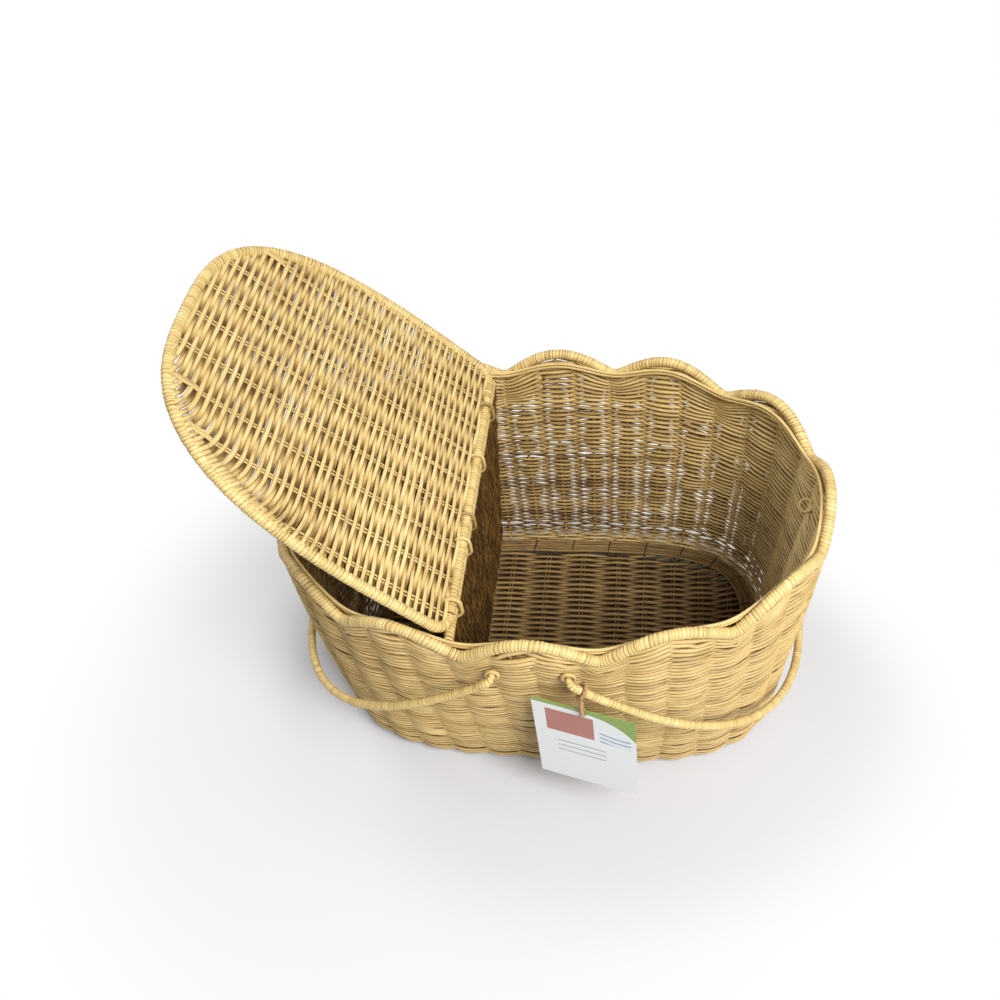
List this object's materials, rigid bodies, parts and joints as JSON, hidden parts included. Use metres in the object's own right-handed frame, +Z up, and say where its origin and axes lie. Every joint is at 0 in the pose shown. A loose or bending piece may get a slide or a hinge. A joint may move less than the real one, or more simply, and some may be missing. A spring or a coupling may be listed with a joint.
{
  "type": "picnic basket",
  "caption": "Woven cane picnic basket, oval, with a scalloped wrapped rim, a divider, a flip lid standing open, swing handles and a blank card tag.",
  "frame": {"origin": "middle of the flat underside of the floor, on the plane the basket stands on", "axes": "+X along the basket towards the end that the lid covers when shut, +Y to the back, +Z up; the tag is on the front, -Y"},
  "size_m": [0.4783, 0.3551, 0.4232],
  "materials": {
    "woven_cane": "natural cane, satin",
    "wrapped_cane": "natural cane, satin",
    "shaded_cane": "natural cane, satin",
    "twine": "twisted, matt",
    "card": "coated card, satin"
  },
  "bodies": {
    "basket": {"wall": "woven_cane", "rim_hoop": "wrapped_cane", "rim_inner_strand_1": "woven_cane", "rim_inner_strand_2": "woven_cane", "foot_hoop": "wrapped_cane", "floor_panel": "shaded_cane", "divider_panel": "shaded_cane", "divider_rail": "wrapped_cane", "hinge_tie_front": "wrapped_cane", "hinge_tie_middle": "wrapped_cane", "hinge_tie_back": "wrapped_cane", "hinge_ring_front": "wrapped_cane", "hinge_ring_back": "wrapped_cane", "handle_eye_left_front": "shaded_cane", "handle_eye_left_back": "shaded_cane", "handle_eye_right_front": "shaded_cane", "handle_eye_right_back": "shaded_cane", "end_ring": "woven_cane"},
    "lid": {"lid_hoop": "wrapped_cane", "lid_hinge_bar": "wrapped_cane", "lid_panel": "woven_cane"},
    "left_handle": {"handle_left": "wrapped_cane"},
    "right_handle": {"handle_right": "wrapped_cane", "tag_loop": "twine"},
    "hang_tag": {"tag_card": "card", "tag_string": "twine"}
  },
  "joints": [
    {"name": "lid_hinge", "type": "hinge", "parent": "basket", "child": "lid", "pos_m": [-0.0619, 0, 0.2238], "axis": [0, 1, 0], "range_deg": [0, 129]},
    {"name": "left_handle_swing", "type": "hinge", "parent": "basket", "child": "left_handle", "pos_m": [-0.0286, 0, 0.1982], "axis": [0, 1, 0], "range_deg": [0, 67]},
    {"name": "right_handle_swing", "type": "hinge", "parent": "basket", "child": "right_handle", "pos_m": [0.0286, 0, 0.1982], "axis": [0, -1, 0], "range_deg": [0, 130]},
    {"name": "tag_swing", "type": "hinge", "parent": "right_handle", "child": "hang_tag", "pos_m": [0.03852, -0.1672, 0.19145], "axis": [0, 1, 0], "range_deg": [0, 130]}
  ],
  "couplings": [
    {"joint": "tag_swing", "follows": "right_handle_swing", "ratio": 1}
  ]
}
